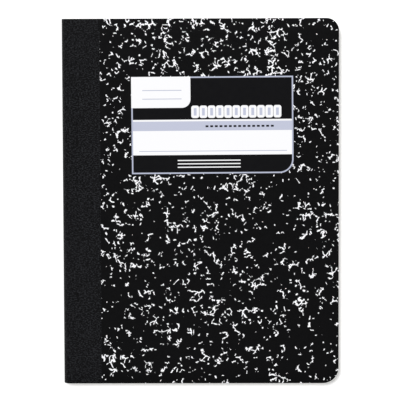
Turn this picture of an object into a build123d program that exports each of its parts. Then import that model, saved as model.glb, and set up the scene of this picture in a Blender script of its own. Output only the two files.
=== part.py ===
from build123d import *

import os

# A sewn composition notebook, closed and lying on its back cover, in millimetres.
# X runs from the spine (-X) to the fore edge (+X), Y from the tail (-Y) to the head (+Y), and Z up.
# The origin is under the middle of the closed book, on the surface that it lies on.
#
# Fifty sheets are folded in half round one another, with one sheet of pressboard folded round them as
# the cover. A lockstitch sews them all together through the fold, a strip of cloth tape is glued over
# the spine and on to both covers, and the head, the tail and the fore edge are trimmed in one cut.
#
# Each cover swings at a pressed crease beside the spine, so the board and the tape are each in three
# pieces here: a front panel, the stretch round the spine, and a back panel.

# ---- Driving dimensions --------------------------------------------------------------------------

book_height = 247.65  # head to tail
book_width = 187.1  # spine to fore edge

leaf_count = 100  # fifty folded sheets
leaf_thickness = 0.086  # one leaf in the pressed, closed book

board_thickness = 0.8  # the pressboard cover
tape_thickness = 0.2  # the cloth tape
tape_bed = 0.1  # how far the tape is pressed into the board

tape_reach = 25.9  # from the back of the spine to the tape's edge on either cover
crease_reach = 10.2  # from the back of the spine to the crease that a cover swings at
crease_gap = 0.4  # width of the pressed crease
hinge_roll = 0.25  # how far off the tape's outer face a cover's hinge axis lies

head_corner_radius = 8.5  # fore-edge corner at the head
tail_corner_radius = 10.8  # fore-edge corner at the tail

thread_thickness = 0.4  # both sewing threads
thread_sink = 0.02  # how far the needle thread lies below the board's outer face
stitch_length = 6.0  # from one needle hole to the next
stitch_margin = 9.0  # from the head or the tail to the nearest needle hole, at least

# ---- Values worked out from them -----------------------------------------------------------------

block_thickness = leaf_count * leaf_thickness
bedded_board = board_thickness - tape_bed  # the board where the tape is pressed into it

# The fold is half round. Its three radii share one centre line, at half the book's thickness.
page_radius = block_thickness / 2
board_radius = page_radius + bedded_board
tape_radius = board_radius + tape_thickness
board_bend_radius = (page_radius + board_radius) / 2  # half way through the board
tape_bend_radius = (board_radius + tape_radius) / 2  # half way through the tape
middle = tape_radius

spine_x = -book_width / 2
fore_edge_x = book_width / 2
fold_x = spine_x + tape_radius  # the centre line of the half-round fold
crease_x = spine_x + crease_reach
tape_edge_x = spine_x + tape_reach
panel_x = crease_x + crease_gap / 2  # where a cover panel starts
spine_end_x = crease_x - crease_gap / 2  # where the stretch round the spine ends

stitch_count = int((book_height - 2 * stitch_margin) / stitch_length) + 1
needle_bed_x = spine_x + tape_thickness + thread_sink  # the outer side of the needle thread
seam_floor_x = needle_bed_x + thread_thickness
needle_leg = fold_x - needle_bed_x  # a stitch's way through the board and the folded sheets

os.makedirs("parts", exist_ok=True)


# ---- Shared steps --------------------------------------------------------------------------------


def round_fore_edge(part):
    """Rounds the two fore-edge corners of the part being built, as the trimming knife leaves them."""
    corners = part.edges().filter_by(Axis.Z)
    fillet(corners.group_by(Axis.Y)[0].sort_by(Axis.X)[-1], radius=tail_corner_radius)
    corners = part.edges().filter_by(Axis.Z)
    fillet(corners.group_by(Axis.Y)[-1].sort_by(Axis.X)[-1], radius=head_corner_radius)


# ---- The folded sheets ---------------------------------------------------------------------------

with BuildPart() as page_block:
    with BuildSketch(Plane.XZ) as block_section:
        with BuildLine() as block_outline:
            Polyline(
                (fold_x, middle - page_radius),
                (fore_edge_x, middle - page_radius),
                (fore_edge_x, middle + page_radius),
                (fold_x, middle + page_radius),
            )
            ThreePointArc(
                (fold_x, middle + page_radius),
                (fold_x - page_radius, middle),
                (fold_x, middle - page_radius),
            )
        make_face()
    extrude(amount=book_height / 2, both=True)
    round_fore_edge(page_block)

    # The bobbin thread lies in the innermost fold, along its whole height.
    with BuildSketch(Plane.XZ) as fold_channel:
        with Locations((fold_x, middle)):
            Rectangle(thread_thickness, thread_thickness, align=(Align.MIN, Align.CENTER))
    extrude(amount=book_height / 2, both=True, mode=Mode.SUBTRACT)

    # Needle holes from the back of the fold to the channel.
    with BuildSketch(Plane.YZ.offset(needle_bed_x)) as block_holes:
        with Locations((0, middle)), GridLocations(stitch_length, 1, stitch_count, 1):
            Rectangle(thread_thickness, thread_thickness)
    extrude(amount=needle_leg, mode=Mode.SUBTRACT)

# ---- The pressboard cover ------------------------------------------------------------------------

with BuildPart() as cover_spine:
    with BuildSketch(Plane.XZ) as cover_spine_section:
        with BuildLine() as board_bend:
            Line((spine_end_x, middle + board_bend_radius), (fold_x, middle + board_bend_radius))
            ThreePointArc(
                (fold_x, middle + board_bend_radius),
                (fold_x - board_bend_radius, middle),
                (fold_x, middle - board_bend_radius),
            )
            Line((fold_x, middle - board_bend_radius), (spine_end_x, middle - board_bend_radius))
        trace(line_width=bedded_board)
    extrude(amount=book_height / 2, both=True)

    # The seam that the needle thread is drawn down into.
    with BuildSketch(Plane.XZ) as seam_section:
        with Locations((spine_x, middle)):
            Rectangle(seam_floor_x - spine_x, thread_thickness, align=(Align.MIN, Align.CENTER))
    extrude(amount=book_height / 2, both=True, mode=Mode.SUBTRACT)

    with BuildSketch(Plane.YZ.offset(needle_bed_x)) as cover_holes:
        with Locations((0, middle)), GridLocations(stitch_length, 1, stitch_count, 1):
            Rectangle(thread_thickness, thread_thickness)
    extrude(amount=needle_leg, mode=Mode.SUBTRACT)

with BuildPart() as front_cover:
    with BuildSketch(Plane.XZ) as front_cover_section:
        with BuildLine():
            Polyline(
                (panel_x, middle + page_radius),
                (fore_edge_x, middle + page_radius),
                (fore_edge_x, middle + page_radius + board_thickness),
                (tape_edge_x, middle + page_radius + board_thickness),
                (tape_edge_x, middle + board_radius),
                (panel_x, middle + board_radius),
                close=True,
            )
        make_face()
    extrude(amount=book_height / 2, both=True)
    round_fore_edge(front_cover)

# The back cover is the front one mirrored through the middle of the pages.
with BuildPart() as back_cover:
    add(front_cover.part.mirror(Plane.XY.offset(middle)))

# ---- The cloth tape ------------------------------------------------------------------------------

with BuildPart() as spine_tape:
    with BuildSketch(Plane.XZ) as spine_tape_section:
        with BuildLine() as tape_bend:
            Line((spine_end_x, middle + tape_bend_radius), (fold_x, middle + tape_bend_radius))
            ThreePointArc(
                (fold_x, middle + tape_bend_radius),
                (fold_x - tape_bend_radius, middle),
                (fold_x, middle - tape_bend_radius),
            )
            Line((fold_x, middle - tape_bend_radius), (spine_end_x, middle - tape_bend_radius))
        trace(line_width=tape_thickness)
    extrude(amount=book_height / 2, both=True)

with BuildPart() as front_tape:
    with BuildSketch(Plane.XZ) as front_tape_section:
        with Locations((panel_x, middle + board_radius)):
            Rectangle(tape_edge_x - panel_x, tape_thickness, align=(Align.MIN, Align.MIN))
    extrude(amount=book_height / 2, both=True)

with BuildPart() as back_tape:
    add(front_tape.part.mirror(Plane.XY.offset(middle)))

# ---- The sewing ----------------------------------------------------------------------------------

# The needle thread runs down the outside of the board and dips through the fold at every stitch.
with BuildPart() as needle_thread:
    with BuildSketch(Plane.XZ) as needle_run:
        with Locations((needle_bed_x, middle)):
            Rectangle(thread_thickness, thread_thickness, align=(Align.MIN, Align.CENTER))
    extrude(amount=book_height / 2, both=True)

    with BuildSketch(Plane.YZ.offset(needle_bed_x)) as needle_dips:
        with Locations((0, middle)), GridLocations(stitch_length, 1, stitch_count, 1):
            Rectangle(thread_thickness, thread_thickness)
    extrude(amount=needle_leg)

# The bobbin thread lies straight along the innermost fold, held by the needle thread's dips.
with BuildPart() as bobbin_thread:
    with BuildSketch(Plane.XZ) as bobbin_run:
        with Locations((fold_x, middle)):
            Rectangle(thread_thickness, thread_thickness, align=(Align.MIN, Align.CENTER))
    extrude(amount=book_height / 2, both=True)

# ---- Labels and files ----------------------------------------------------------------------------

page_block.part.label = "page_block"
export_step(page_block.part, "parts/page_block.step")

cover_spine.part.label = "cover_spine"
export_step(cover_spine.part, "parts/cover_spine.step")

front_cover.part.label = "front_cover"
export_step(front_cover.part, "parts/front_cover.step")

back_cover.part.label = "back_cover"
export_step(back_cover.part, "parts/back_cover.step")

spine_tape.part.label = "spine_tape"
export_step(spine_tape.part, "parts/spine_tape.step")

front_tape.part.label = "front_tape"
export_step(front_tape.part, "parts/front_tape.step")

back_tape.part.label = "back_tape"
export_step(back_tape.part, "parts/back_tape.step")

needle_thread.part.label = "needle_thread"
export_step(needle_thread.part, "parts/needle_thread.step")

bobbin_thread.part.label = "bobbin_thread"
export_step(bobbin_thread.part, "parts/bobbin_thread.step")

# ---- Hinge axes, both along Y --------------------------------------------------------------------

print(f"front cover hinge: x {crease_x:.3f}, z {middle + tape_radius + hinge_roll:.3f} mm, axis -Y")
print(f"back cover hinge: x {crease_x:.3f}, z {middle - tape_radius - hinge_roll:.3f} mm, axis +Y")
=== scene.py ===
import math
import random

import bpy
from mathutils import Euler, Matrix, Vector


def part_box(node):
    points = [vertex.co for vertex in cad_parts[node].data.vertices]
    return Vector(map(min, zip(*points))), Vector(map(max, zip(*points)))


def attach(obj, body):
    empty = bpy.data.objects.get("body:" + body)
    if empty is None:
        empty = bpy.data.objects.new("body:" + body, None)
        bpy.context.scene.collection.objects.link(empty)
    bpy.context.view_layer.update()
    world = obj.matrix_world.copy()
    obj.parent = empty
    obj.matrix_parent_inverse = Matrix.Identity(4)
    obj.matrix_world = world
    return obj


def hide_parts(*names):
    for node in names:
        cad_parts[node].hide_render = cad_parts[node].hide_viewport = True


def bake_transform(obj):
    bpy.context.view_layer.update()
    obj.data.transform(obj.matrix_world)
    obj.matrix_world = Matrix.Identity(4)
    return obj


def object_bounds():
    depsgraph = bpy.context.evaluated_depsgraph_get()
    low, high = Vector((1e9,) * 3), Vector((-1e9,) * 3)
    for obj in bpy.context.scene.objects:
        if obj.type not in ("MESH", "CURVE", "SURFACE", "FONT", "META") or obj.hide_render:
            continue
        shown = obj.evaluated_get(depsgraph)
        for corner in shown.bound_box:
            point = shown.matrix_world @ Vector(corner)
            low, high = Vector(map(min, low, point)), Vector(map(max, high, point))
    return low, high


# A sewn composition notebook, closed and lying on its back cover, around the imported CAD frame.
# Metres throughout: X from the spine to the fore edge, Y from the tail to the head, Z up.

MM = 0.001

# ---- Sizes that the frame doesn't hold ---------------------------------------------------------

SHEET_COUNT = 50
PAPER_THICKNESS = 0.074 * MM
TRIM_SCATTER = 0.05 * MM  # how unevenly the knife leaves the leaves
HEAD_CORNER = 8.5 * MM
TAIL_CORNER = 10.8 * MM
THREAD_BULGE = 0.2 * MM  # how far the bobbin thread lifts the innermost leaves
BOARD_EASE = 0.1 * MM  # rounding of the board's cut edges
TAPE_EASE = 0.04 * MM

SWELL_HEIGHT = 0.14 * MM  # the sewing makes the spine a little thicker
SWELL_REACH = 5.6 * MM  # from the back of the spine to the middle of the swelling
SWELL_WIDTH = 2.4 * MM
CREASE_DEPTH = 0.13 * MM
CREASE_WIDTH = 0.55 * MM
BEND_REACH = 0.7 * MM  # how far to each side of the crease a cover bends
SEAM_REACH = 0.95 * MM  # where the spine's pieces meet the covers' pieces

# ---- The frame -----------------------------------------------------------------------------------

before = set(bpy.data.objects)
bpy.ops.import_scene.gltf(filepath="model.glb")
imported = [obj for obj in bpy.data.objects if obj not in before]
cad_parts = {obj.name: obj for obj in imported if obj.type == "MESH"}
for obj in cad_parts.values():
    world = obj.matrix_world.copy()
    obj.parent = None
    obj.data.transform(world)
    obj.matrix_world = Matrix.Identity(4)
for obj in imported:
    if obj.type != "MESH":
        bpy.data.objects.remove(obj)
cad_low, cad_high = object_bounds()

page_low, page_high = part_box("page_block")
panel_low, panel_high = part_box("front_cover")
strip_low, strip_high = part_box("front_tape")
spine_low, spine_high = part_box("spine_tape")
needle_low, needle_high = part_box("needle_thread")
bobbin_low, bobbin_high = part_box("bobbin_thread")

SPINE_X = cad_low.x
FORE_X = cad_high.x
HALF_HEIGHT = (cad_high.y - cad_low.y) / 2
MIDDLE = (cad_low.z + cad_high.z) / 2
PAGE_RADIUS = (page_high.z - page_low.z) / 2
TAPE_RADIUS = (spine_high.z - spine_low.z) / 2
BOARD_RADIUS = strip_low.z - MIDDLE  # under the tape
PANEL_RADIUS = panel_high.z - MIDDLE  # beyond the tape
FOLD_X = SPINE_X + TAPE_RADIUS
TAPE_EDGE_X = strip_high.x
CREASE_X = (spine_high.x + strip_low.x) / 2
SEAM_X = CREASE_X - SEAM_REACH


# ---- Shader arithmetic -------------------------------------------------------------------------


class Wire:
    """A number in a node tree. Python's arithmetic on it makes Math nodes."""

    def __init__(self, tree, socket):
        self.tree = tree
        self.socket = socket

    def math(self, operation, *others):
        node = self.tree.nodes.new("ShaderNodeMath")
        node.operation = operation
        for index, value in enumerate((self,) + others):
            if isinstance(value, Wire):
                self.tree.links.new(value.socket, node.inputs[index])
            else:
                node.inputs[index].default_value = value
        return Wire(self.tree, node.outputs[0])

    def __add__(self, other):
        return self.math("ADD", other)

    def __sub__(self, other):
        return self.math("SUBTRACT", other)

    def __mul__(self, other):
        return self.math("MULTIPLY", other)

    def size(self):
        return self.math("ABSOLUTE")

    def most(self, other):
        return self.math("MAXIMUM", other)

    def least(self, other):
        return self.math("MINIMUM", other)

    def above(self, other):
        return self.math("GREATER_THAN", other)

    def below(self, other):
        return self.math("LESS_THAN", other)

    def step(self, low, high, to_low=0.0, to_high=1.0):
        """Eases from to_low where this is low to to_high where it is high."""
        node = self.tree.nodes.new("ShaderNodeMapRange")
        node.interpolation_type = "SMOOTHSTEP"
        self.tree.links.new(self.socket, node.inputs["Value"])
        node.inputs["From Min"].default_value = low
        node.inputs["From Max"].default_value = high
        node.inputs["To Min"].default_value = to_low
        node.inputs["To Max"].default_value = to_high
        return Wire(self.tree, node.outputs[0])


class Painter:
    """One material's nodes. Lengths in it are millimetres, from the piece's place at rest."""

    def __init__(self, name):
        self.material = bpy.data.materials.new(name)
        self.material.use_nodes = True
        self.tree = self.material.node_tree
        self.tree.nodes.clear()
        self.output = self.tree.nodes.new("ShaderNodeOutputMaterial")
        self.shader = self.tree.nodes.new("ShaderNodeBsdfPrincipled")
        self.tree.links.new(self.shader.outputs[0], self.output.inputs[0])
        rest = self.tree.nodes.new("ShaderNodeAttribute")
        rest.attribute_name = "rest_millimetres"
        self.place = rest.outputs["Vector"]

    def attribute(self, name):
        node = self.tree.nodes.new("ShaderNodeAttribute")
        node.attribute_name = name
        return Wire(self.tree, node.outputs["Fac"])

    def parts(self, vector=None):
        node = self.tree.nodes.new("ShaderNodeSeparateXYZ")
        self.tree.links.new(vector or self.place, node.inputs[0])
        return [Wire(self.tree, node.outputs[index]) for index in range(3)]

    def vector(self, x, y, z=0.0):
        node = self.tree.nodes.new("ShaderNodeCombineXYZ")
        for index, value in enumerate((x, y, z)):
            if isinstance(value, Wire):
                self.tree.links.new(value.socket, node.inputs[index])
            else:
                node.inputs[index].default_value = value
        return node.outputs[0]

    def stretched(self, scale, vector=None):
        node = self.tree.nodes.new("ShaderNodeVectorMath")
        node.operation = "MULTIPLY"
        self.tree.links.new(vector or self.place, node.inputs[0])
        node.inputs[1].default_value = scale
        return node.outputs[0]

    def shifted(self, by, vector=None):
        node = self.tree.nodes.new("ShaderNodeVectorMath")
        node.operation = "ADD"
        self.tree.links.new(vector or self.place, node.inputs[0])
        node.inputs[1].default_value = by
        return node.outputs[0]

    def warped(self, length, reach, vector=None):
        """Pushes places about by up to reach, in swirls about length across."""
        source = vector or self.place
        noise = self.tree.nodes.new("ShaderNodeTexNoise")
        noise.noise_dimensions = "2D"
        noise.inputs["Scale"].default_value = 1 / length
        noise.inputs["Detail"].default_value = 1.0
        noise.inputs["Roughness"].default_value = 0.6
        self.tree.links.new(source, noise.inputs["Vector"])
        centred = self.tree.nodes.new("ShaderNodeVectorMath")
        centred.operation = "SUBTRACT"
        centred.inputs[1].default_value = (0.5, 0.5, 0.5)
        self.tree.links.new(noise.outputs["Color"], centred.inputs[0])
        moved = self.tree.nodes.new("ShaderNodeVectorMath")
        moved.operation = "MULTIPLY_ADD"
        moved.inputs[1].default_value = (reach * 2, reach * 2, reach * 2)
        self.tree.links.new(centred.outputs[0], moved.inputs[0])
        self.tree.links.new(source, moved.inputs[2])
        return moved.outputs[0]

    def noise(self, length, vector=None, detail=1.0, flat=False):
        node = self.tree.nodes.new("ShaderNodeTexNoise")
        node.noise_dimensions = "2D" if flat else "3D"
        node.inputs["Scale"].default_value = 1 / length
        node.inputs["Detail"].default_value = detail
        self.tree.links.new(vector or self.place, node.inputs["Vector"])
        return Wire(self.tree, node.outputs[0])

    def cells(self, length, vector=None, edges=False):
        """Millimetres to the nearest cell edge or cell centre, and a random number for each cell."""
        node = self.tree.nodes.new("ShaderNodeTexVoronoi")
        node.voronoi_dimensions = "2D"
        node.feature = "DISTANCE_TO_EDGE" if edges else "F1"
        node.inputs["Scale"].default_value = 1 / length
        self.tree.links.new(vector or self.place, node.inputs["Vector"])
        distance = Wire(self.tree, node.outputs["Distance"]) * length
        if edges:
            return distance, None
        split = self.tree.nodes.new("ShaderNodeSeparateColor")
        self.tree.links.new(node.outputs["Color"], split.inputs[0])
        return distance, Wire(self.tree, split.outputs[0])

    def mix(self, under, over, share):
        """A colour that goes from under to over. Each is a colour or a colour socket."""
        node = self.tree.nodes.new("ShaderNodeMix")
        node.data_type = "RGBA"
        self.tree.links.new(share.socket, node.inputs[0])
        for index, value in ((6, under), (7, over)):
            if isinstance(value, tuple):
                node.inputs[index].default_value = value
            else:
                self.tree.links.new(value, node.inputs[index])
        return node.outputs[2]

    def finish(self, colour, roughness, specular, bump=None, bump_height=0.05, sheen=0.0):
        """Sets the shader. Roughness is a number or a Wire, and bump_height is in millimetres."""
        inputs = self.shader.inputs
        self.tree.links.new(colour, inputs["Base Color"])
        if isinstance(roughness, Wire):
            self.tree.links.new(roughness.socket, inputs["Roughness"])
        else:
            inputs["Roughness"].default_value = roughness
        inputs["Specular IOR Level"].default_value = specular
        inputs["Sheen Weight"].default_value = sheen
        if bump is not None:
            node = self.tree.nodes.new("ShaderNodeBump")
            node.inputs["Strength"].default_value = 1.0
            node.inputs["Distance"].default_value = bump_height * MM
            self.tree.links.new(bump.socket, node.inputs["Height"])
            self.tree.links.new(node.outputs[0], inputs["Normal"])
        return self.material


def tone(red, green, blue):
    """A linear colour from the three values, 0 to 255, that it shows on a screen."""

    def linear(value):
        share = value / 255
        return share / 12.92 if share <= 0.04045 else ((share + 0.055) / 1.055) ** 2.4

    return (linear(red), linear(green), linear(blue), 1.0)


# ---- The marbled print ---------------------------------------------------------------------------

INK_BLACK = tone(6, 6, 7)
INK_GREY = tone(12, 12, 13)
PRINT_WHITE = tone(252, 252, 255)
STROKE_SOFTNESS = 0.03

WARP_LENGTH = 5.0  # lengths in this part are millimetres
WARP_REACH = 1.6
JITTER_LENGTH = 1.6
JITTER_REACH = 0.5
PATCH_LENGTH = 6.5
PATCH_LEVEL = 0.63
PATCH_FORCE = 9.0
BROAD_LENGTH = 26.0
BROAD_FORCE = 3.0  # how much the strokes crowd together in broad areas
HEAD_DENSITY = 0.5  # how much more of the strokes there is near the head
BREAK_LENGTH = 2.4
BREAK_FORCE = 6.0
STROKE_ENDS = 4.0  # how abruptly a stroke ends
SMALL_CELL = 4.4
SMALL_STROKE = 0.36
LARGE_CELL = 8.5
LARGE_STROKE = 0.42
LARGE_RARITY = 0.72
SPECK_SPACING = 4.6
SPECK_SHARE = 0.15
SPECK_RADIUS = 0.35
SPECK_GROWTH = 0.35


def marbling(paint, offset):
    """How white the marbled print is: broken strokes along wandering cell edges, and specks."""
    place = paint.shifted(offset)
    swirled = paint.warped(WARP_LENGTH, WARP_REACH, place)
    swirled = paint.warped(JITTER_LENGTH, JITTER_REACH, swirled)
    patch = paint.noise(PATCH_LENGTH, paint.shifted((91, 13, 0), place), flat=True)
    _, along, _ = paint.parts()
    patch = (patch - PATCH_LEVEL) * PATCH_FORCE + along.step(70.0, 95.0) * HEAD_DENSITY
    broad = paint.noise(BROAD_LENGTH, paint.shifted((-37, 59, 0), place), flat=True)
    patch = patch + (broad - 0.5) * BROAD_FORCE

    def strokes(cell, half_width, rarity, edge_seed, break_seed):
        edge, _ = paint.cells(cell, paint.shifted(edge_seed, swirled), edges=True)
        broken = paint.noise(BREAK_LENGTH, paint.shifted(break_seed, place), flat=True)
        share = (patch + (broken - 0.5) * BREAK_FORCE - rarity).least(1.0) * STROKE_ENDS
        return share.least(1.0) * half_width - edge

    small = strokes(SMALL_CELL, SMALL_STROKE, 0.0, (0, 0, 0), (31, 5, 0))
    large = strokes(LARGE_CELL, LARGE_STROKE, LARGE_RARITY, (211, 77, 0), (-47, 83, 0))

    centre, chance = paint.cells(SPECK_SPACING, paint.shifted((13, 401, 0), swirled))
    chosen = (chance - (1 - SPECK_SHARE)) * (1 / SPECK_SHARE)
    radius = (chosen * SPECK_GROWTH + SPECK_RADIUS + 1.0) * chosen.above(0.0) - 1.0

    white = small.most(large).most(radius - centre)
    return white.step(-STROKE_SOFTNESS, STROKE_SOFTNESS)


# ---- The printed label ---------------------------------------------------------------------------

LABEL_CENTRE = (8.2, 52.05)
LABEL_SIZE = (109.3, 65.6)
LABEL_TURN = math.radians(0.3)
LABEL_CORNER = 9.5
LABEL_BORDER = 0.95
LABEL_BLACK = tone(14, 14, 16)
LABEL_WHITE = tone(253, 253, 255)
LABEL_LAVENDER = tone(197, 201, 220)
LABEL_RIM = tone(186, 191, 211)
LABEL_EDGE = 0.05  # softness of a printed edge

NAME_BOX = (40.0, 21.0)  # width, and depth from the label's top
NAME_BOX_CORNER = 5.8
TITLE_FIELD_END = 29.0  # depths from the label's top
PALE_RULE_END = 30.2
LAVENDER_END = 36.5
WRITING_END = 52.9
WRITING_LINE = 50.3

TITLE_BLOCKS = 11
TITLE_START = 43.1  # the middle of the first block
TITLE_PITCH = 5.55
TITLE_BLOCK = (5.3, 8.4)
TITLE_DEPTH = 23.8

DASHES = 15
DASH_START = 51.0
DASH_PITCH = 3.15
DASH = (2.0, 1.3)
DASH_DEPTH = 33.6


def rounded_box(u, v, centre, size, corner):
    """Millimetres outside a box with rounded corners, less than 0 inside it."""
    across = (u - centre[0]).size() - (size[0] / 2 - corner)
    along = (v - centre[1]).size() - (size[1] / 2 - corner)
    outside = (across.most(0.0).math("POWER", 2.0) + along.most(0.0).math("POWER", 2.0)).math("SQRT")
    return outside + across.most(along).least(0.0) - corner


def printed_label(paint, under):
    """Paints the label over a colour. u runs right from its left side and v down from its top."""
    x, y, _ = paint.parts()
    dx = x - LABEL_CENTRE[0]
    dy = y - LABEL_CENTRE[1]
    cosine, sine = math.cos(LABEL_TURN), math.sin(LABEL_TURN)
    u = dx * cosine + dy * sine + LABEL_SIZE[0] / 2
    v = dx * sine - dy * cosine + LABEL_SIZE[1] / 2
    width, height = LABEL_SIZE

    def inside(distance):
        return distance.step(LABEL_EDGE, -LABEL_EDGE)

    def band(value, low, high):
        return inside((value - (low + high) / 2).size() - (high - low) / 2)

    def outline(inset):
        """The label with one round corner: the plain box, and the same box rounded all over."""
        plain = rounded_box(u, v, (width / 2, height / 2), (width - 2 * inset, height - 2 * inset), 0.01)
        rounded = rounded_box(
            u,
            v,
            (0.0, 0.0),
            (2 * (width - inset), 2 * (height - inset)),
            LABEL_CORNER - inset,
        )
        return plain.most(rounded)

    colour = paint.mix(under, LABEL_RIM, inside(outline(0.0)))
    field = inside(outline(LABEL_BORDER))
    colour = paint.mix(colour, LABEL_BLACK, field)
    colour = paint.mix(colour, LABEL_WHITE, band(v, TITLE_FIELD_END, PALE_RULE_END) * field)
    colour = paint.mix(colour, LABEL_LAVENDER, band(v, PALE_RULE_END, LAVENDER_END) * field)
    colour = paint.mix(colour, LABEL_WHITE, band(v, LAVENDER_END, WRITING_END) * field)
    writing_line = band(v, WRITING_LINE - 0.25, WRITING_LINE + 0.25) * band(u, 5.0, width - 4.4)
    colour = paint.mix(colour, LABEL_RIM, writing_line)

    # The box at the head of the label is left bare but for two rules to write a name on.
    corner_box = rounded_box(
        u, v, (0.0, 0.0), (2 * NAME_BOX[0], 2 * NAME_BOX[1]), NAME_BOX_CORNER
    )
    colour = paint.mix(colour, LABEL_WHITE, inside(corner_box) * inside(outline(0.0)))
    for depth in (9.2, 15.0):
        rule = band(v, depth - 0.25, depth + 0.25) * band(u, 7.5, 34.0)
        colour = paint.mix(colour, LABEL_RIM, rule)

    def row(start, pitch, count, depth, size, corner):
        """A row of equal blocks with rounded corners."""
        nearest = (u - start).math("DIVIDE", pitch).math("ROUND").most(0.0).least(count - 1.0)
        return rounded_box(u - start - nearest * pitch, v, (0.0, depth), size, corner)

    # Plain blocks fill the title's place, dashes the pale band, and three rules the lowest band.
    block = row(TITLE_START, TITLE_PITCH, TITLE_BLOCKS, TITLE_DEPTH, TITLE_BLOCK, 1.6)
    colour = paint.mix(colour, LABEL_WHITE, inside(block))
    colour = paint.mix(colour, LABEL_LAVENDER, inside(block + 1.7))
    dash = row(DASH_START, DASH_PITCH, DASHES, DASH_DEPTH, DASH, 0.3)
    colour = paint.mix(colour, LABEL_BLACK, inside(dash))
    for depth in (56.6, 58.9, 61.2):
        rule = band(v, depth - 0.35, depth + 0.35) * band(u, 31.0, 73.5)
        colour = paint.mix(colour, LABEL_WHITE, rule)
    return colour


# ---- Materials -----------------------------------------------------------------------------------


def marbled_print(name, offset, labelled):
    """Printed pressboard: black and white marbling under a thin, slightly uneven varnish."""
    paint = Painter(name)
    white = marbling(paint, offset)
    mottle = paint.noise(0.6, detail=2.0)
    black = paint.mix(INK_BLACK, INK_GREY, mottle.step(0.35, 0.7))
    colour = paint.mix(black, PRINT_WHITE, white)
    if labelled:
        colour = printed_label(paint, colour)
    grain = paint.noise(0.35, detail=3.0) + paint.noise(6.0, detail=1.0) * 0.6
    roughness = paint.noise(3.0, detail=2.0).step(0.3, 0.7, 0.5, 0.6)
    return paint.finish(colour, roughness, 0.03, grain, 0.02)


def board_inside():
    """The cover's unprinted side: smooth pale board with short fibres."""
    paint = Painter("board_inside")
    fibre = paint.noise(0.5, paint.stretched((1.0, 0.25, 1.0)), detail=3.0)
    cloud = paint.noise(14.0, detail=2.0)
    colour = paint.mix(tone(231, 229, 222), tone(234, 232, 225), cloud.step(0.2, 0.8))
    colour = paint.mix(colour, tone(205, 201, 190), fibre.step(0.6, 0.8) * 0.5)
    return paint.finish(colour, 0.75, 0.2, fibre, 0.03)


def board_core():
    """The board's cut edge: grey-brown pulp in thin layers."""
    paint = Painter("board_core")
    layers = paint.noise(0.22, paint.stretched((0.15, 0.15, 2.0)), detail=2.0)
    flecks = paint.noise(0.3, detail=2.0)
    colour = paint.mix(tone(120, 114, 104), tone(168, 161, 148), layers.step(0.3, 0.7))
    colour = paint.mix(colour, tone(78, 73, 66), flecks.step(0.62, 0.75))
    return paint.finish(colour, 0.85, 0.15, layers + flecks, 0.05)


def spine_cloth():
    """Black crepe tape: short raised threads that run round the spine, close together. The raised
    threads are painted lighter than the hollows, a painted highlight that follows the bump.
    """
    paint = Painter("spine_cloth")
    crepe = paint.noise(0.7, paint.stretched((0.6, 1.0, 0.6), paint.warped(3.0, 0.35)), detail=2.0)
    weave = paint.noise(0.22, detail=1.0)
    patch = paint.noise(9.0, detail=2.0)
    height = crepe + weave * 0.35
    # Painted highlight: the crepe's raised threads are coloured lighter than its hollows, from the same
    # noise as the bump; the broad patches are random tone.
    light = (crepe - 0.5) * 7.0 + (patch - 0.5) * 0.5 + 0.2
    colour = paint.mix(tone(0, 0, 1), tone(34, 35, 38), light.step(0.0, 1.0))
    roughness = crepe.step(0.3, 0.7, 0.5, 0.38)
    return paint.finish(colour, roughness, 0.05, height, 0.35)


RULE_SPACING = 8.7
FIRST_RULE = 37.0  # below the head
LAST_RULE = 8.0  # above the tail
MARGIN = 32.0  # from the spine, or from the fore edge on the other side of a leaf
RULE_WIDTH = 0.26


def ruled_paper():
    """Wide-ruled writing paper. Its lines run out at the trimmed edges as faint ticks."""
    paint = Painter("ruled_paper")
    x, y, _ = paint.parts()
    geometry = paint.tree.nodes.new("ShaderNodeNewGeometry")
    _, _, up = paint.parts(geometry.outputs["Normal"])
    face = up.size().step(0.5, 0.9)

    cloud = paint.noise(22.0, detail=2.0)
    fibre = paint.noise(0.4, detail=3.0)
    leaf = paint.attribute("leaf_tone")
    colour = paint.mix(tone(238, 236, 227), tone(241, 239, 231), cloud.step(0.2, 0.8))
    colour = paint.mix(colour, tone(214, 210, 196), leaf * 0.55 + fibre.step(0.6, 0.8) * 0.12)

    head = page_high.y / MM
    tail = page_low.y / MM
    below = (y - (head - FIRST_RULE)) * -1
    count = int((head - tail - FIRST_RULE - LAST_RULE) / RULE_SPACING)
    nearest = below.math("DIVIDE", RULE_SPACING).math("ROUND").most(0.0).least(float(count))
    rule = (below - nearest * RULE_SPACING).size().step(RULE_WIDTH / 2 + 0.05, RULE_WIDTH / 2 - 0.05)
    margin_x = up.above(0.0) * (SPINE_X / MM + MARGIN) + up.below(0.0) * (FORE_X / MM - MARGIN)
    margin = (x - margin_x).size().step(RULE_WIDTH / 2 + 0.05, RULE_WIDTH / 2 - 0.05)
    ink = face * 0.75 + 0.2
    colour = paint.mix(colour, tone(120, 160, 214), rule * ink)
    colour = paint.mix(colour, tone(222, 110, 120), margin * ink)
    return paint.finish(colour, 0.8, 0.15, fibre + cloud * 0.5, 0.02)


def sewing_thread():
    """Off-white cotton thread with fine fuzz, and painted shade in the hollows between its plies."""
    paint = Painter("sewing_thread")
    ply = paint.attribute("ply_height")
    fuzz = paint.noise(0.12, detail=2.0)
    # Painted shade: the colour darkens where the plies dip, in the hollows between them.
    colour = paint.mix(tone(188, 184, 172), tone(240, 238, 230), ply.step(0.1, 0.8))
    colour = paint.mix(colour, tone(214, 210, 200), fuzz.step(0.5, 0.8))
    return paint.finish(colour, 0.7, 0.25, fuzz, 0.02, 0.2)


FLOOR_WHITE = (0.9, 0.9, 0.9, 1.0)
FLOOR_GLOW = 0.3  # added where the backdrop is seen, so that the bare floor is white


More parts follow.
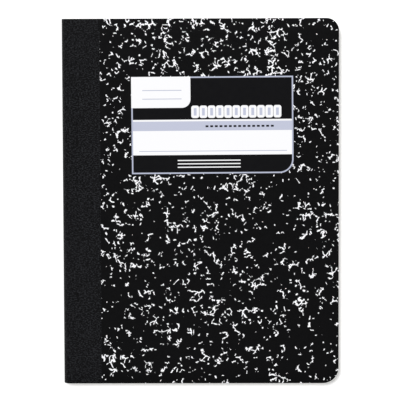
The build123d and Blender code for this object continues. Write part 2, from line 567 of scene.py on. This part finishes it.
def backdrop_seen(tree):
    """1 where the camera sees the backdrop, straight or in a reflection or through glass."""
    path = tree.nodes.new("ShaderNodeLightPath")
    seen = Wire(tree, path.outputs["Is Camera Ray"])
    seen = seen.most(Wire(tree, path.outputs["Is Glossy Ray"]))
    return seen.most(Wire(tree, path.outputs["Is Transmission Ray"]))


def studio_floor():
    """A pale floor that keeps the shadow and is white to the camera where nothing shades it."""
    material = bpy.data.materials.new("studio_floor")
    material.use_nodes = True
    tree = material.node_tree
    tree.nodes.clear()
    output = tree.nodes.new("ShaderNodeOutputMaterial")
    diffuse = tree.nodes.new("ShaderNodeBsdfDiffuse")
    diffuse.inputs["Color"].default_value = FLOOR_WHITE
    glow = tree.nodes.new("ShaderNodeEmission")
    strength = backdrop_seen(tree) * FLOOR_GLOW
    tree.links.new(strength.socket, glow.inputs["Strength"])
    both = tree.nodes.new("ShaderNodeAddShader")
    tree.links.new(diffuse.outputs[0], both.inputs[0])
    tree.links.new(glow.outputs[0], both.inputs[1])
    tree.links.new(both.outputs[0], output.inputs[0])
    return material


# ---- Meshes --------------------------------------------------------------------------------------


def swollen(x, y, z):
    """A place once the sewing has lifted the layers beside the spine off the floor."""
    swell = SWELL_HEIGHT * math.exp(-(((x - SPINE_X - SWELL_REACH) / SWELL_WIDTH) ** 2))
    return x, y, z + swell * z / (2 * MIDDLE)


def crease(x):
    """How deep the pressed crease is at a place."""
    return CREASE_DEPTH * math.exp(-(((x - CREASE_X) / CREASE_WIDTH) ** 2))


class Station:
    """One place along a layer's path: above or below the middle, or on the half-round fold."""

    def __init__(self, side, x=None, turn=None):
        self.side = side  # 1 above, -1 below, 0 on the fold
        self.x = x
        self.turn = turn  # how far round the fold, or round the fore-edge corner

    def point(self, radius, inset, fore_x):
        if self.side == 0:
            x = FOLD_X - radius * math.sin(self.turn)
            return x, MIDDLE + radius * math.cos(self.turn)
        x = self.x
        if self.turn is not None:
            x = fore_x - TAIL_CORNER + (TAIL_CORNER - inset) * math.sin(self.turn)
        return x, MIDDLE + self.side * radius


def flat_stations(side, places, corner_steps=0):
    """Stations at the given places, then round the fore-edge corners. Runs from the spine."""
    stations = [Station(side, x) for x in places]
    for step in range(corner_steps + 1 if corner_steps else 0):
        stations.append(Station(side, turn=math.radians(90) * step / corner_steps))
    return stations


def spread(start, end, count):
    """Evenly spaced numbers, both ends included."""
    return [start + (end - start) * step / (count - 1) for step in range(count)]


def y_limits(x, inset, fore_x, half_height):
    """The tail and head ends of a layer at a place, where its fore-edge corners are round."""
    low = inset - half_height
    high = half_height - inset
    past_tail = x - (fore_x - TAIL_CORNER)
    if past_tail > 0:
        low = TAIL_CORNER - half_height
        low -= math.sqrt(max((TAIL_CORNER - inset) ** 2 - past_tail**2, 0.0))
    past_head = x - (fore_x - HEAD_CORNER)
    if past_head > 0:
        high = half_height - HEAD_CORNER
        high += math.sqrt(max((HEAD_CORNER - inset) ** 2 - past_head**2, 0.0))
    return low, high


class MeshMaker:
    """Collects vertices and faces, with a number for each vertex where a material wants one."""

    def __init__(self):
        self.vertices = []
        self.faces = []
        self.slots = []
        self.values = []

    def vertex(self, x, y, z, value=0.0):
        self.vertices.append((x, y, z))
        self.values.append(value)
        return len(self.vertices) - 1

    def face(self, corners, slot=0):
        self.faces.append(corners)
        self.slots.append(slot)

    def build(self, name, materials, value_name=None, sharp=25):
        mesh = bpy.data.meshes.new(name)
        mesh.from_pydata(self.vertices, [], self.faces)
        for material in materials:
            mesh.materials.append(material)
        mesh.polygons.foreach_set("material_index", self.slots)
        mesh.polygons.foreach_set("use_smooth", [True] * len(self.faces))
        mesh.set_sharp_from_angle(angle=math.radians(sharp))
        rest = mesh.attributes.new("rest_millimetres", "FLOAT_VECTOR", "POINT")
        rest.data.foreach_set("vector", [value / MM for place in self.vertices for value in place])
        if value_name:
            values = mesh.attributes.new(value_name, "FLOAT", "POINT")
            values.data.foreach_set("value", self.values)
        mesh.update()
        piece = bpy.data.objects.new(name, mesh)
        bpy.context.scene.collection.objects.link(piece)
        return piece


def add_slab(maker, stations, outer, inner, rows, ease, plan, slots=(0, 0, 0), value=0.0):
    """Adds one closed layer that follows its stations, with eased cut edges.

    outer and inner give its two faces' distances from the book's middle at a place along X.
    plan is its fore edge's place and half its height.
    """
    fore_x, half_height = plan
    last = len(stations) - 1
    ends_at_fore = [stations[0].turn is not None and stations[0].side != 0]
    ends_at_fore.append(stations[-1].turn is not None and stations[-1].side != 0)

    def corner(station, row, inset, depth):
        guess, _ = station.point(outer(station.x or FOLD_X), inset, fore_x)
        top, bottom = outer(guess), inner(guess)
        radius = top - depth if depth >= 0 else bottom - depth
        x, z = station.point(radius, inset, fore_x)
        low, high = y_limits(x, inset, fore_x, half_height)
        return swollen(x, low + (high - low) * row / rows, z)

    rim = [(0, row) for row in range(rows + 1)]
    rim += [(column, rows) for column in range(1, last + 1)]
    rim += [(last, row) for row in range(rows - 1, -1, -1)]
    rim += [(column, 0) for column in range(last - 1, 0, -1)]

    def grid(inset, depth):
        return {
            (column, row): maker.vertex(*corner(stations[column], row, inset, depth), value)
            for column in range(last + 1)
            for row in range(rows + 1)
        }

    def ring(inset, depth):
        return {
            key: maker.vertex(*corner(stations[key[0]], key[1], inset, depth), value) for key in rim
        }

    # Depths are from the outer face down, and from the inner face up where they are less than 0.
    tiny = 1e-9
    levels = [grid(ease, 0.0)]
    if ease > 0:
        levels.append(ring(ease * 0.29, ease * 0.29))
        levels.append(ring(0.0, ease))
        levels.append(ring(0.0, -ease))
        levels.append(ring(ease * 0.29, -ease * 0.29))
    levels.append(grid(ease, -tiny))

    for column in range(last):
        for row in range(rows):
            a, b = (column, row), (column + 1, row)
            c, d = (column + 1, row + 1), (column, row + 1)
            top, bottom = levels[0], levels[-1]
            maker.face((top[a], top[b], top[c], top[d]), slots[0])
            maker.face((bottom[d], bottom[c], bottom[b], bottom[a]), slots[2])
    # The outer face's finish wraps over its eased edge, and the inner face's over its own.
    finishes = [slots[0]] * 2 + [slots[1]] + [slots[2]] * 2 if ease > 0 else [slots[1]]
    for upper, lower, finish in zip(levels, levels[1:], finishes):
        for here, there in zip(rim, rim[1:] + rim[:1]):
            maker.face((upper[here], upper[there], lower[there], lower[here]), finish)


# Where a cover bends, its rows are close together.
BEND_PLACES = spread(CREASE_X - BEND_REACH, CREASE_X + BEND_REACH, 15)
FRONT_PLACES = [SEAM_X] + BEND_PLACES


def fold_stations(count):
    """Stations right round the half-round fold, from above to below."""
    return [Station(0, turn=math.pi * step / count) for step in range(1, count)]


def board_outer(x):
    level = BOARD_RADIUS if x < TAPE_EDGE_X - 0.03 * MM else PANEL_RADIUS
    return level - crease(x)


def board_inner(x):
    return PAGE_RADIUS


def tape_outer(x):
    return TAPE_RADIUS - crease(x)


def tape_inner(x):
    return BOARD_RADIUS - crease(x)


def cover_board(name, side, materials):
    """One cover's board, from the seam beside the crease to the fore edge."""
    places = FRONT_PLACES + spread(CREASE_X + 1.2 * MM, TAPE_EDGE_X - 0.06 * MM, 8)
    places += spread(TAPE_EDGE_X, FORE_X - TAIL_CORNER - 6 * MM, 14)
    maker = MeshMaker()
    stations = flat_stations(side, places, corner_steps=14)
    plan = (FORE_X, HALF_HEIGHT)
    add_slab(maker, stations, board_outer, board_inner, 24, BOARD_EASE, plan, (0, 1, 2))
    return maker.build(name, materials)


def cover_tape(name, side, materials):
    """The tape on one cover, from the seam beside the crease to its own edge."""
    places = FRONT_PLACES + spread(CREASE_X + 1.2 * MM, TAPE_EDGE_X, 10)
    maker = MeshMaker()
    plan = (FORE_X, HALF_HEIGHT)
    add_slab(maker, flat_stations(side, places), tape_outer, tape_inner, 24, TAPE_EASE, plan)
    return maker.build(name, materials)


def wrapped_spine(name, outer, inner, ease, materials, slots):
    """The stretch of a layer that goes round the spine, from seam to seam."""
    flats = spread(FOLD_X, SEAM_X, 8)
    stations = flat_stations(1, flats[::-1]) + fold_stations(36) + flat_stations(-1, flats)
    maker = MeshMaker()
    add_slab(maker, stations, outer, inner, 24, ease, (FORE_X, HALF_HEIGHT), slots)
    return maker.build(name, materials)


def folded_sheets(name, materials):
    """Fifty sheets folded round one another, each a closed layer of paper."""
    chance = random.Random(11)
    gaps = [chance.uniform(0.4, 1.6) for _ in range(SHEET_COUNT)]
    room = PAGE_RADIUS - SHEET_COUNT * PAPER_THICKNESS - 0.01 * MM
    scale = room / sum(gaps)
    maker = MeshMaker()
    inner_radius = 0.0
    for gap in gaps:
        inner_radius += gap * scale
        outer_radius = inner_radius + PAPER_THICKNESS
        fore_x = FORE_X - chance.uniform(0.0, TRIM_SCATTER)
        half_height = HALF_HEIGHT - chance.uniform(0.0, TRIM_SCATTER)

        def lifted(radius):
            def distance(x):
                bulge = THREAD_BULGE * math.exp(-(((x - FOLD_X - THREAD_BULGE) / (0.5 * MM)) ** 2))
                share = radius / PAGE_RADIUS
                return radius + bulge * (1 - share)

            return distance

        near_fold = [0.2 * MM, 0.5 * MM, 0.9 * MM, 1.5 * MM, 3.0 * MM, 5.0 * MM, 7.0 * MM]
        places = [FOLD_X] + [FOLD_X + step for step in near_fold]
        places += spread(FOLD_X + 12 * MM, FORE_X - TAIL_CORNER - 8 * MM, 4)
        upper = flat_stations(1, places, corner_steps=7)[::-1]
        lower = flat_stations(-1, places, corner_steps=7)
        steps = max(4, round(18 * outer_radius / PAGE_RADIUS))
        add_slab(
            maker,
            upper + fold_stations(steps) + lower,
            lifted(outer_radius),
            lifted(inner_radius),
            1,
            0.0,
            (fore_x, half_height),
            value=chance.random(),
        )
        inner_radius = outer_radius
    return maker.build(name, materials, "leaf_tone")


def twisted_thread(name, path, radius, materials, pitch=1.5 * MM, plies=3):
    """A thread of twisted plies along a path of points, closed at both ends."""
    maker = MeshMaker()
    around = 9
    rings = []
    run = 0.0
    for index, place in enumerate(path):
        before = path[max(index - 1, 0)]
        after = path[min(index + 1, len(path) - 1)]
        run += (place - before).length
        along = (after - before).normalized()
        side = along.cross(Vector((0, 0, 1))).normalized()
        up = side.cross(along)
        twist = math.tau * run / pitch
        ring = []
        for step in range(around):
            angle = math.tau * step / around
            # How high the plies stand here; the thread's material paints shade where this is low.
            ply = math.cos(plies * angle - plies * twist) * 0.5 + 0.5
            reach = radius * (0.8 + 0.2 * ply)
            point = place + side * math.cos(angle) * reach + up * math.sin(angle) * reach
            ring.append(maker.vertex(*point, ply))
        rings.append(ring)
    for near, far in zip(rings, rings[1:]):
        for step in range(around):
            beside = (step + 1) % around
            maker.face((near[step], near[beside], far[beside], far[step]))
    maker.face(tuple(rings[0][::-1]))
    maker.face(tuple(rings[-1]))
    return maker.build(name, materials, "ply_height", sharp=60)


# ---- Pieces --------------------------------------------------------------------------------------

front_print = marbled_print("front_print", (0, 0, 0), True)
back_print = marbled_print("back_print", (237, -412, 0), False)
inside = board_inside()
core = board_core()
cloth = spine_cloth()
paper = ruled_paper()
cotton = sewing_thread()


def place_piece(piece, node, body):
    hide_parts(node)
    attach(piece, body)


def bend_piece(piece, node):
    """Hides the frame's part for a piece that lies across the crease between the text block and one
    cover, and bakes the piece's place into its mesh.
    """
    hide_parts(node)
    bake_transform(piece)


front_board = cover_board("front_board", 1, [front_print, core, inside])
bend_piece(front_board, "front_cover")
back_board = cover_board("back_board", -1, [back_print, core, inside])
bend_piece(back_board, "back_cover")
spine_board = wrapped_spine(
    "spine_board", board_outer, board_inner, BOARD_EASE, [core, inside], (0, 0, 1)
)
place_piece(spine_board, "cover_spine", "text_block")

front_cloth = cover_tape("front_cloth", 1, [cloth])
bend_piece(front_cloth, "front_tape")
back_cloth = cover_tape("back_cloth", -1, [cloth])
bend_piece(back_cloth, "back_tape")
spine_wrap = wrapped_spine("spine_wrap", tape_outer, tape_inner, TAPE_EASE, [cloth], (0, 0, 0))
place_piece(spine_wrap, "spine_tape", "text_block")

sheets = folded_sheets("ruled_sheets", [paper])
place_piece(sheets, "page_block", "text_block")

THREAD_RADIUS = (bobbin_high.z - bobbin_low.z) / 2
bobbin_x = (bobbin_low.x + bobbin_high.x) / 2
bobbin_path = [Vector((bobbin_x, y, MIDDLE)) for y in spread(bobbin_low.y, bobbin_high.y, 900)]
bobbin = twisted_thread("bobbin_stitching", bobbin_path, THREAD_RADIUS, [cotton])
place_piece(bobbin, "bobbin_thread", "text_block")

needle_x = needle_low.x + THREAD_RADIUS
needle_path = [Vector((needle_x, y, MIDDLE)) for y in spread(needle_low.y, needle_high.y, 900)]
needle = twisted_thread("needle_stitching", needle_path, THREAD_RADIUS, [cotton])
place_piece(needle, "needle_thread", "text_block")


# ---- Stage, light and camera ---------------------------------------------------------------------

FLOOR_SPAN = 8.0
WORLD_STRENGTH = 0.3
KEY_PLACE = Vector((-0.42, 0.62, 1.9))
KEY_ANGLE = math.radians(17)  # how wide the lamp looks from the book
KEY_SHARE = 0.7  # of the light that falls on the cover

CAMERA_PLACE = (0.01613, 0.08691, 1.3)
CAMERA_TURN = (-3.798, 0.719, -0.189)
CAMERA_LENS = 171.82


def make_floor():
    maker = MeshMaker()
    half = FLOOR_SPAN / 2
    level = cad_low.z - 0.1 * MM
    corners = [(-half, -half), (half, -half), (half, half), (-half, half)]
    maker.face(tuple(maker.vertex(x, y, level) for x, y in corners))
    floor = maker.build("floor", [studio_floor()])


def make_world():
    world = bpy.data.worlds.new("studio")
    bpy.context.scene.world = world
    world.use_nodes = True
    tree = world.node_tree
    background = tree.nodes["Background"]
    strength = backdrop_seen(tree) * (1 - WORLD_STRENGTH) + WORLD_STRENGTH
    tree.links.new(strength.socket, background.inputs["Strength"])
    background.inputs["Color"].default_value = (1.0, 1.0, 1.0, 1.0)


def make_key():
    data = bpy.data.lights.new("key", "SUN")
    data.angle = KEY_ANGLE
    data.energy = math.pi * KEY_SHARE / (KEY_PLACE.z / KEY_PLACE.length)
    lamp = bpy.data.objects.new("key", data)
    lamp.location = KEY_PLACE
    lamp.rotation_euler = (-KEY_PLACE).to_track_quat("-Z", "Y").to_euler()
    bpy.context.scene.collection.objects.link(lamp)


def make_camera():
    data = bpy.data.cameras.new("camera")
    data.lens = CAMERA_LENS
    camera = bpy.data.objects.new("camera", data)
    camera.location = CAMERA_PLACE
    camera.rotation_euler = Euler([math.radians(angle) for angle in CAMERA_TURN])
    bpy.context.scene.collection.objects.link(camera)
    bpy.context.scene.camera = camera


make_floor()
make_world()
make_key()
make_camera()
bpy.context.scene.view_settings.view_transform = "Standard"

bpy.context.view_layer.update()
